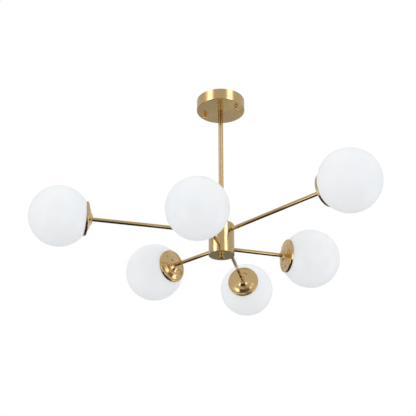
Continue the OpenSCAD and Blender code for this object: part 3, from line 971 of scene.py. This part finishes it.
@dataclass
class Hub(SubAssembly):
    """The drum that takes the six arms, with its cover, its finial nut and what it holds.

    Attributes:
        ring_gap: How far apart the lathe's rings lie on the cover.
        ring_depth: How deep they are.
        ring_steps: How many edges each ring has.
        cover_edge: How far the rings stay from the cover's edges.
        cover_fillet: The radius of the edges on its hidden side.
        cover_sides: How many sides the cover has.
        finial_chamfer: The width of the finial nut's chamfer.
        foot_fillet: The radius between the nut's foot and the chamfer.
        side_fillet: The radius between the chamfer and the nut's side.
        top_fillet: The radius of its upper edge.
        mouth_fillet: The radius of its blind hole's edge.
        finial_bore: The radius of that hole.
        bore_share: How deep the hole is, as a share of the nut's height.
        finial_sides: How many sides the nut has.
    """

    ring_gap: float = 2.2 * MM
    ring_depth: float = 0.06 * MM
    ring_steps: int = 6
    cover_edge: float = 0.3 * MM
    cover_fillet: float = 0.2 * MM
    cover_sides: int = 96
    finial_chamfer: float = 1.2 * MM
    foot_fillet: float = 0.3 * MM
    side_fillet: float = 0.4 * MM
    top_fillet: float = 0.25 * MM
    mouth_fillet: float = 0.3 * MM
    finial_bore: float = 5.05 * MM
    bore_share: float = 0.75
    finial_sides: int = 64

    def build(self) -> None:
        """Builds and dresses every piece."""
        self.keep("hub_body", self.palette.hub)
        self.keep("hub_nipple", self.palette.zinc)
        self.keep("distribution_block", self.palette.plastic)
        self.keep("arm_nipples", self.palette.zinc)
        self.keep("arm_nuts", self.palette.zinc)
        self.keep("arm_leads", self.palette.cable)
        self.keep("finial_washer", self.palette.finial)
        self.turn_cover()
        self.turn_finial()

    def turn_cover(self) -> None:
        """Turns the cover, whose lower face keeps the lathe's fine rings."""
        size = Extent.of("hub_cover")
        edge = self.cover_edge
        count = round((size.outer - size.inner) / self.ring_gap) * self.ring_steps
        face = []
        for step in range(count + 1):
            radius = size.outer - edge + (size.inner - size.outer + 2 * edge) * step / count
            wave = 0.5 - 0.5 * math.cos(math.tau * step / self.ring_steps)
            face.append((radius, size.low + self.ring_depth * wave))
        outline = rounded([Corner(size.inner, size.high, self.cover_fillet),
                           Corner(size.outer, size.high, self.cover_fillet),
                           Corner(size.outer, size.low + edge)], steps=3)
        outline += face + [(size.inner, size.low + edge)]
        mesh = spin("hub_cover_turned", outline, self.cover_sides)
        self.stand_in("hub_cover_turned", mesh, self.palette.cover, "frame", "dark_brass", "hub_cover")

    def turn_finial(self) -> None:
        """Turns the finial nut with its chamfer and blind thread."""
        size = Extent.of("finial_nut")
        chamfer, bore = self.finial_chamfer, self.finial_bore
        foot = size.high - (size.high - size.low) * self.bore_share
        outline = rounded([Corner(0.0, size.low), Corner(size.outer - chamfer, size.low, self.foot_fillet),
                           Corner(size.outer, size.low + chamfer, self.side_fillet),
                           Corner(size.outer, size.high, self.top_fillet),
                           Corner(bore, size.high, self.mouth_fillet),
                           Corner(bore, foot), Corner(0.0, foot)], steps=4)
        mesh = spin("finial_nut_turned", outline, self.finial_sides)
        self.stand_in("finial_nut_turned", mesh, self.palette.finial, "finial_nut", "brass", "finial_nut")


@dataclass
class Branch(SubAssembly):
    """One arm with its saucer, lampholder, lamp, seal and globe.

    Attributes:
        name: The arm's name, such as upper_1.
        hub_radius: The drum's radius, which the arm's inner end is cut to.
        tube_edge: The radius of the arm's edges.
        tube_sides: How many sides the arm has.
        lip: The radius of the bead round the saucer's rim.
        rim_side: How far the rim runs straight before the bead.
        lip_turn: How far round the bead goes, in degrees.
        wall: The saucer's wall.
        nose_radius: Where the saucer's dish meets its nose.
        dish_depth: How deep the dish is there.
        nose_flat: The radius of the flat at the nose's end.
        lip_pull: How strongly the dish's curve follows the bead where it leaves it.
        dish_pull: The way to that curve's control point from where it ends, at the dish's depth.
        nose_low_pull: The same for the nose's curve from where it starts.
        nose_top_pull: The same for the nose's curve from where it ends.
        saucer_sides: How many sides the saucer has.
        glass: The globe's wall.
        ball_foot: The angle at which the globe's rings end below, at a point on its axis.
        neck_bore: The radius inside the globe's neck.
        neck_wall: The neck's wall.
        neck_length: The neck's length.
        neck_edge: The radius of its edges.
        neck_gap: How far outside the neck the ball's arc ends.
        neck_rise: How far above the arc's end the neck starts.
        hollow_gap: What the hollow's arc leaves out at the neck, in degrees.
        globe_sides: How many sides the globe has.
        place: The branch's local frame.
        outward: The direction from the hub to the globe.
        reach: The globe's distance from the rod's axis.
    """

    name: str = "upper_1"
    hub_radius: float = 32.5 * MM
    tube_edge: float = 0.25 * MM
    tube_sides: int = 56
    lip: float = 3.2 * MM
    rim_side: float = 3.4 * MM
    lip_turn: float = 122.0
    wall: float = 1.2 * MM
    nose_radius: float = 24.0 * MM
    dish_depth: float = 12.0 * MM
    nose_flat: float = 7.33 * MM
    lip_pull: float = 3.0 * MM
    dish_pull: Point = (4.5 * MM, -0.8 * MM)
    nose_low_pull: Point = (-9.0 * MM, 0.6 * MM)
    nose_top_pull: Point = (9.0 * MM, -1.8 * MM)
    saucer_sides: int = 128
    glass: float = 2.5 * MM
    ball_foot: float = -89.0
    neck_bore: float = 12.95 * MM
    neck_wall: float = 3.2 * MM
    neck_length: float = 11.6 * MM
    neck_edge: float = 0.5 * MM
    neck_gap: float = 1.0 * MM
    neck_rise: float = 0.1 * MM
    hollow_gap: float = 1.0
    globe_sides: int = 128
    place: Matrix = field(init=False)
    outward: Vector = field(init=False)
    reach: float = field(init=False)

    def __post_init__(self) -> None:
        """Finds the branch's local frame: from the globe's centre along the arm to the hub."""
        joint = next(j for j in frame["joints"] if j["name"] == f"globe_{self.name}_unscrew")
        centre = Vector(joint["pos_m"])
        self.outward = Vector((centre.x, centre.y, 0.0)).normalized()
        self.reach = math.hypot(centre.x, centre.y)
        inward = -self.outward
        self.place = Matrix.Translation(centre) @ Matrix((UP, inward.cross(UP), inward)).transposed().to_4x4()

    def build(self) -> None:
        """Builds and dresses every piece."""
        self.make_arm()
        self.spin_saucer()
        self.keep(f"lampholder_{self.name}", self.palette.porcelain)
        self.keep(f"lamp_{self.name}", self.palette.quartz)
        self.keep(f"seal_{self.name}", self.palette.silicone)
        self.blow_globe()

    def extent(self, part: str) -> Extent:
        """Measures one of the branch's nodes in its local frame."""
        return Extent.of(f"{part}_{self.name}", self.place)

    def make_arm(self) -> None:
        """Makes the arm's tube, with its inner end cut to the drum's curve."""
        size = self.extent("arm")
        mesh = spin(f"arm_{self.name}_tube", tube(size, self.tube_edge), self.tube_sides)
        for vertex in mesh.vertices:
            if vertex.co.z > size.high - 2 * self.tube_edge:
                drum = self.reach - math.sqrt(self.hub_radius ** 2 - vertex.co.y ** 2)
                vertex.co.z = drum - (size.high - vertex.co.z)
        self.stand_in(f"arm_{self.name}_tube", mesh, self.palette.arm, "frame", "brass", f"arm_{self.name}",
                      place=self.place)

    def spin_saucer(self) -> None:
        """Spins the saucer: a bead at the rim, a dish, a ledge and a nose that ends flat round the arm."""
        size = self.extent("saucer")
        depth = size.high - size.low
        lip_points = arc((size.outer - self.lip, self.rim_side), self.lip, 0.0, self.lip_turn, steps=18)
        lip_end = Vector(lip_points[-1])
        turn = math.radians(self.lip_turn)
        dish_end = Vector((self.nose_radius, self.dish_depth))
        nose_end = Vector((self.nose_flat, depth))
        outside = [(size.outer, 0.0)] + lip_points
        outside += bezier(lip_end, lip_end + self.lip_pull * Vector((-math.sin(turn), math.cos(turn))),
                          dish_end + Vector(self.dish_pull), dish_end, steps=20)
        outside += bezier(dish_end, dish_end + Vector(self.nose_low_pull),
                          nose_end + Vector(self.nose_top_pull), nose_end, steps=28)
        outside.append((size.inner, depth))
        inside = inset(outside, self.wall)
        inside[0] = (size.outer - self.wall, 0.0)
        inside[-1] = (size.inner, depth - self.wall)
        outline = [(radius, size.low + height) for radius, height in outside + inside[::-1]]
        mesh = spin(f"saucer_{self.name}_spun", outline, self.saucer_sides)
        self.stand_in(f"saucer_{self.name}_spun", mesh, self.palette.saucer, "frame", "brass",
                      f"saucer_{self.name}", place=self.place)

    def blow_globe(self) -> None:
        """Blows the globe: a hollow ball with a short threaded neck."""
        size = self.extent("globe")
        radius = size.outer
        hollow = radius - self.glass
        bore = self.neck_bore
        neck = bore + self.neck_wall
        edge = self.neck_edge
        outer_end = math.acos((neck + self.neck_gap) / radius)
        inner_end = math.acos(neck / hollow)
        foot = size.high - self.neck_length
        outline = [(0.0, -radius)]
        outline += arc((0.0, 0.0), radius, self.ball_foot, math.degrees(outer_end), steps=88)
        outline += rounded([Corner(neck, radius * math.sin(outer_end) + self.neck_rise),
                            Corner(neck, size.high, edge), Corner(bore, size.high, edge),
                            Corner(bore, foot, edge), Corner(neck, foot, edge),
                            Corner(neck, hollow * math.sin(inner_end))], steps=4)
        outline += arc((0.0, 0.0), hollow, math.degrees(inner_end) - self.hollow_gap, self.ball_foot,
                       steps=80)
        outline.append((0.0, -hollow))
        mesh = spin(f"globe_{self.name}_blown", outline, self.globe_sides)
        self.stand_in(f"globe_{self.name}_blown", mesh, self.palette.opal, f"globe_{self.name}", "opal_glass",
                      f"globe_{self.name}", place=self.place)


# ---- studio and camera ----


@dataclass(frozen=True)
class Card:
    """A curved card round the object that only shows in its reflections.

    Attributes:
        name: Its name.
        width: Its width in degrees.
        line: Its middle line from below: each point's height above the horizon and its bearing to the right
            of the camera, in degrees seen from the object, and how bright it is there; 1 is white.
        soft: The share of its width that fades towards each side, down to the room's own level.
        distance: How far it stands from the rod's axis.
    """

    name: str
    width: float
    line: tuple[tuple[float, float, float], ...]
    soft: float = 0.0
    distance: float = 2.9


ROOM_LEVEL = 0.64    # how bright the room's wall is, and what each card fades to
CARDS = (
    Card("left_low", width=40, soft=0.25,
         line=((-39, -66, 2.3), (-20, -62, 2.0), (-10, -60, 1.1), (2, -60, ROOM_LEVEL))),
    Card("right_low", width=30, soft=0.25,
         line=((-39, 40, 1.7), (-16, 40, 1.8), (-6, 40, 1.1), (8, 40, ROOM_LEVEL))),
    Card("right_far", width=30, soft=0.25,
         line=((-39, 104, 1.9), (-14, 104, 1.7), (-2, 104, ROOM_LEVEL))),
    Card("front_dark", width=18, soft=0.2,
         line=((-38, -8, 0.12), (-4, -8, 0.3), (4, -8, ROOM_LEVEL))),
    Card("back_low", width=130, soft=0.2,
         line=((-38, 180, 0.06), (-24, 180, 0.14), (-10, 180, 0.4), (0, 180, ROOM_LEVEL))),
)


class Pieces(Enum):
    """A group of pieces that a light is linked to, by how their names start."""

    UPRIGHT = ("canopy", "hub_", "cap_")
    FINIAL = ("finial",)
    ROD = ("down_rod",)
    SHADING = ("canopy", "hub_body", "down_rod", "arm_", "saucer_", "globe_")
    CANOPY = ("canopy", "cap_")
    COVER = ("hub_cover",)


@dataclass(frozen=True)
class SoftLight:
    """A soft upright light that only one group of pieces receives.

    Attributes:
        lit: The pieces that it lights.
        width: Its width in degrees.
        tall: Its height, as a share of its distance.
        level: How much light it adds to the room's wall behind it.
        shaded_by: The pieces that shade it, or None for all.
    """

    lit: Pieces
    width: float
    tall: float
    level: float
    shaded_by: Pieces | None = None


STRIP_LEVEL = 2.8    # how bright the strips are in all, where they lie behind each other
STRIP_TALL = 0.32
STRIPS = (
    *(SoftLight(Pieces.UPRIGHT, width, STRIP_TALL, STRIP_LEVEL * share, Pieces.SHADING)
      for width, share in ((36.0, 0.2), (27.0, 0.35), (18.0, 0.5), (9.0, 0.5))),
    SoftLight(Pieces.FINIAL, 16.0, 0.4, STRIP_LEVEL, Pieces.FINIAL),
    *(SoftLight(Pieces.ROD, width, STRIP_TALL, STRIP_LEVEL * share, Pieces.SHADING)
      for width, share in ((24.0, 0.2), (13.0, 0.4))),
)
CANOPY_GLOW = SoftLight(Pieces.CANOPY, width=90.0, tall=1.0, level=0.35)
COVER_GLOW = SoftLight(Pieces.COVER, width=70.0, tall=0.7, level=0.08)


@dataclass
class Studio:
    """A white room with a pale floor, and cards that give the polished brass something to mirror.

    Attributes:
        facing: The camera's direction from the lamp, in degrees from +X.
        middle: The place on the rod's axis, at the hub's foot, that the cards and lights stand round.
        floor_level: The floor's height.
        floor_radius: Its radius.
        floor_depth: Its thickness.
        floor_sides: How many sides it has.
        floor_tone: How pale it is.
        floor_roughness: How rough it is.
        floor_shine: How much of its gloss is left.
        floor_melt: Where it starts to melt into the white and where it is gone, as shares of its radius.
        room_radius: How far off the room's wall stands.
        room_height: How high the wall reaches above the horizon, in degrees.
        room_foot: Where its foot is, in degrees above the horizon.
        ceiling_overlap: The ceiling's radius, as a share of the wall's.
        table_drop: How far below the hub the dark table lies.
        table_shift: How far towards the camera it lies.
        table_rings: The radius of the table's centre and of each of its rings, and how bright it is there.
        light_distance: How far off the lights stand, as a share of the wall's distance.
        strips: The height of each row of strips above the horizon and its bearings to the right of the
            camera, in degrees.
        glows: The height and the bearing of each broad light, in degrees, and the light.
    """

    facing: float
    middle: Vector
    floor_level: float = -4.2
    floor_radius: float = 14.0
    floor_depth: float = 0.02
    floor_sides: int = 96
    floor_tone: float = 0.86
    floor_roughness: float = 0.9
    floor_shine: float = 0.1
    floor_melt: Span = (0.25, 0.7)
    room_radius: float = 3.0
    room_height: float = 60.0
    room_foot: float = -14.0
    ceiling_overlap: float = 1.01
    table_drop: float = 2.4
    table_shift: float = -0.8
    table_rings: tuple[Span, ...] = ((0.0, 0.03), (3.0, 0.05), (6.5, 0.3), (9.6, 0.5))
    light_distance: float = 0.95
    strips: tuple[tuple[float, Span], ...] = ((24.0, (-61.0, 42.0)), (38.0, (-50.0, 46.0)))
    glows: tuple[tuple[float, float, SoftLight], ...] = ((-34.0, 180.0, CANOPY_GLOW),
                                                         (-30.0, 180.0, COVER_GLOW))

    def build(self) -> None:
        """Builds the room."""
        self.light_world()
        self.lay_floor()
        wall = Card("room_wall", width=360, distance=self.room_radius,
                    line=((self.room_foot, 0, ROOM_LEVEL), (self.room_height, 0, ROOM_LEVEL)))
        for card in (wall, *CARDS):
            self.hang(card)
        toward = Vector((math.cos(math.radians(self.facing)), math.sin(math.radians(self.facing)), 0.0))
        self.lay_disc("table_card", toward * self.table_shift - UP * self.table_drop, self.table_rings)
        ceiling = self.room_radius * math.tan(math.radians(self.room_height))
        self.lay_disc("ceiling_card", UP * ceiling,
                      ((0.0, ROOM_LEVEL), (self.room_radius * self.ceiling_overlap, ROOM_LEVEL)))
        self.hang_lights()

    def hang_lights(self) -> None:
        """Hangs the lights that only some of the brushed pieces receive: narrow strips and broad glows."""
        groups = {pieces: self.group(pieces) for pieces in Pieces}
        for height, bearings in self.strips:
            for bearing in bearings:
                for strip in STRIPS:
                    self.hang_light(strip, height, bearing, groups)
        for height, bearing, glow in self.glows:
            self.hang_light(glow, height, bearing, groups)

    @staticmethod
    def group(pieces: Pieces) -> bpy.types.Collection:
        """Gathers a group of pieces, which lights can then be linked to.

        Args:
            pieces: The group.

        Returns:
            The collection that holds them.
        """
        made = bpy.data.collections.new(f"{pieces.name.lower()}_pieces")
        for piece in bpy.context.scene.objects:
            if piece.name.startswith(pieces.value) and piece.type == "MESH":
                made.objects.link(piece)
        return made

    def hang_light(self, soft: SoftLight, height: float, bearing: float,
                   groups: dict[Pieces, bpy.types.Collection]) -> None:
        """Hangs one soft light, which points at the hub's axis.

        Args:
            soft: Its size and level, and what it lights.
            height: Its middle's height above the horizon, in degrees seen from the hub.
            bearing: Its bearing to the right of the camera, in degrees.
            groups: The collection that holds each group of pieces.
        """
        lit = groups[soft.lit]
        name = f"{lit.name}_{height:.0f}_{bearing:.0f}_{soft.width:.0f}".replace("-", "m")
        data = bpy.data.lights.new(name, "AREA")
        data.shape = "RECTANGLE"
        distance = self.room_radius * self.light_distance
        data.size = 2 * distance * math.tan(math.radians(soft.width / 2))
        data.size_y = distance * soft.tall
        data.energy = soft.level * math.pi * data.size * data.size_y
        turn = math.radians(self.facing + bearing)
        way = Vector((math.cos(turn), math.sin(turn), 0.0))
        light = bpy.data.objects.new(name, data)
        light.location = self.middle + way * distance + UP * distance * math.tan(math.radians(height))
        light.rotation_euler = way.to_track_quat("Z", "Y").to_euler()
        light.visible_camera = False
        bpy.context.scene.collection.objects.link(light)
        light.light_linking.receiver_collection = lit
        if soft.shaded_by:
            light.light_linking.blocker_collection = groups[soft.shaded_by]

    def light_world(self) -> None:
        """Fills the world with even white light."""
        world = bpy.data.worlds.new("white_room")
        world.use_nodes = True
        world.node_tree.nodes["Background"].inputs[0].default_value = grey(1.0)
        bpy.context.scene.world = world

    def lay_floor(self) -> None:
        """Lays the pale floor far below, whose rim melts into the white room."""
        graph = Graph("pale_floor")
        graph.set(Base_Color=grey(self.floor_tone), Roughness=self.floor_roughness,
                  Specular_IOR_Level=self.floor_shine)
        light = graph.add("ShaderNodeEmission", {0: grey(1.0), 1: 1.0}).outputs[0]
        away = graph.around()[1]
        seen = graph.add("ShaderNodeLightPath").outputs
        looked = graph.math("MAXIMUM", seen["Is Camera Ray"], seen["Is Glossy Ray"])
        melt = graph.spread(away, *(self.floor_radius * share for share in self.floor_melt))
        share = graph.math("MULTIPLY", melt, looked)
        mixed = graph.add("ShaderNodeMixShader", {0: share, 1: graph.shader.outputs[0], 2: light})
        graph.feed(graph.tree.nodes["Material Output"].inputs[0], mixed.outputs[0])
        rim, foot = self.floor_radius, -self.floor_depth
        disc = spin("floor", [(0.0, 0.0), (rim, 0.0), (rim, foot), (0.0, foot)], self.floor_sides)
        self.stand(disc, graph.material, Matrix.Translation((0.0, 0.0, self.floor_level)))

    def stand(self, mesh: bpy.types.Mesh, material: bpy.types.Material, place: Matrix) -> bpy.types.Object:
        """Puts a piece of the studio in place.

        Args:
            mesh: Its mesh.
            material: Its finish.
            place: Where it stands.

        Returns:
            The object.
        """
        thing = bpy.data.objects.new(mesh.name, mesh)
        mesh.materials.append(material)
        thing.matrix_world = place
        bpy.context.scene.collection.objects.link(thing)
        return thing

    def hang(self, card: Card) -> None:
        """Hangs one curved card.

        Args:
            card: Its size, place and brightness.
        """
        made = bmesh.new()
        shares = [k / (CARD_COLUMNS - 1) for k in range(CARD_COLUMNS)]
        rows = []
        levels: list[float] = []
        for height, bearing, level in card.line:
            rise = card.distance * math.tan(math.radians(height))
            turns = [math.radians(self.facing + bearing + card.width * (share - 0.5)) for share in shares]
            rows.append([made.verts.new((card.distance * math.cos(turn), card.distance * math.sin(turn),
                                         rise)) for turn in turns])
            for share in shares:
                full = min(1.0, min(share, 1 - share) / card.soft) if card.soft else 1.0
                levels.append(ROOM_LEVEL + (level - ROOM_LEVEL) * full)
        for low, high in zip(rows, rows[1:]):
            for k in range(CARD_COLUMNS - 1):
                made.faces.new((low[k], low[k + 1], high[k + 1], high[k]))
        mesh = bpy.data.meshes.new(card.name)
        made.to_mesh(mesh)
        made.free()
        self.light_up(mesh, levels, self.middle)

    def lay_disc(self, name: str, place: Vector, rings: Sequence[tuple[float, float]]) -> None:
        """Lays a round card above or below the object.

        Args:
            name: Its name.
            place: Its centre, seen from the hub.
            rings: The radius of its centre and of each of its rings, with how bright it is there.
        """
        made = bmesh.new()
        turns = [math.tau * k / CARD_COLUMNS for k in range(CARD_COLUMNS)]
        rows = [[made.verts.new((reach * math.cos(turn), reach * math.sin(turn), 0.0)) for turn in turns]
                for reach, _ in rings[1:]]
        made.faces.new(rows[0])
        centre = bmesh.ops.poke(made, faces=made.faces[:])["verts"][0]
        for inner, outer in zip(rows, rows[1:]):
            for k in range(CARD_COLUMNS):
                after = (k + 1) % CARD_COLUMNS
                made.faces.new((inner[k], outer[k], outer[after], inner[after]))
        mesh = bpy.data.meshes.new(name)
        made.verts.index_update()
        levels = [level for _, level in rings[1:] for _ in turns]
        levels.insert(centre.index, rings[0][1])
        made.to_mesh(mesh)
        made.free()
        self.light_up(mesh, levels, self.middle + place)

    def light_up(self, mesh: bpy.types.Mesh, levels: Sequence[float], place: Vector) -> None:
        """Stands a card up that glows, and hides it from all but reflections.

        Args:
            mesh: Its mesh.
            levels: How bright each of its points is.
            place: Where it stands.
        """
        glow = mesh.attributes.new("glow", "FLOAT", "POINT")
        glow.data.foreach_set("value", levels)
        graph = Graph(mesh.name)
        level = graph.add("ShaderNodeAttribute", attribute_name="glow").outputs["Fac"]
        light = graph.add("ShaderNodeEmission", {0: grey(1.0), 1: level}).outputs[0]
        graph.feed(graph.tree.nodes["Material Output"].inputs[0], light)
        thing = self.stand(mesh, graph.material, Matrix.Translation(place))
        thing.visible_camera = False
        thing.visible_diffuse = False
        thing.visible_transmission = False
        thing.visible_volume_scatter = False
        thing.visible_shadow = False


@dataclass(frozen=True)
class PhotoCamera:
    """The photograph's camera, below the lamp and looking up at it.

    Attributes:
        place: Where it stands.
        heading: The way that it looks, in degrees from +Y towards +X.
        pitch: How far it looks up, in degrees.
        lens: Its focal length on a sensor of that width, in millimetres.
        sensor: The sensor's width.
        far: The farthest that it sees.
    """

    place: tuple[float, float, float] = (0.5161, -2.2073, -1.4041)
    heading: float = -14.02
    pitch: float = 25.57
    lens: float = 84.8
    sensor: float = 36.0
    far: float = 60.0

    def set_up(self) -> None:
        """Makes it the scene's camera."""
        data = bpy.data.cameras.new("photo_camera")
        data.lens = self.lens
        data.sensor_width = self.sensor
        data.clip_end = self.far
        camera = bpy.data.objects.new("photo_camera", data)
        camera.location = self.place
        camera.rotation_euler = (math.radians(90 + self.pitch), 0.0, math.radians(-self.heading))
        bpy.context.scene.collection.objects.link(camera)
        bpy.context.scene.camera = camera

    def bearing_from(self, middle: Vector) -> float:
        """The camera's direction from a point, in degrees from +X."""
        return math.degrees(math.atan2(self.place[1] - middle.y, self.place[0] - middle.x))


def main() -> None:
    """Builds the chandelier, sub-assembly by sub-assembly, and then its studio."""
    logging.basicConfig(level=logging.INFO, format="%(name)s: %(message)s")
    bpy.context.scene.view_settings.view_transform = "Standard"
    camera = PhotoCamera()
    camera.set_up()
    palette = Palette()
    arms = [f"{tier}_{number}" for tier in ("upper", "lower") for number in (1, 2, 3)]
    parts: Iterable[SubAssembly] = [CeilingMount(palette), DownRod(palette), Hub(palette),
                                    *(Branch(palette, name=arm) for arm in arms)]
    for part in parts:
        part.build()
        for piece in part.made:
            LOG.info("%s: %s", type(part).__name__, piece)
    middle = Vector((0.0, 0.0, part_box("hub_body")[0].z))
    Studio(camera.bearing_from(middle), middle).build()


if __name__ == "__main__":
    main()
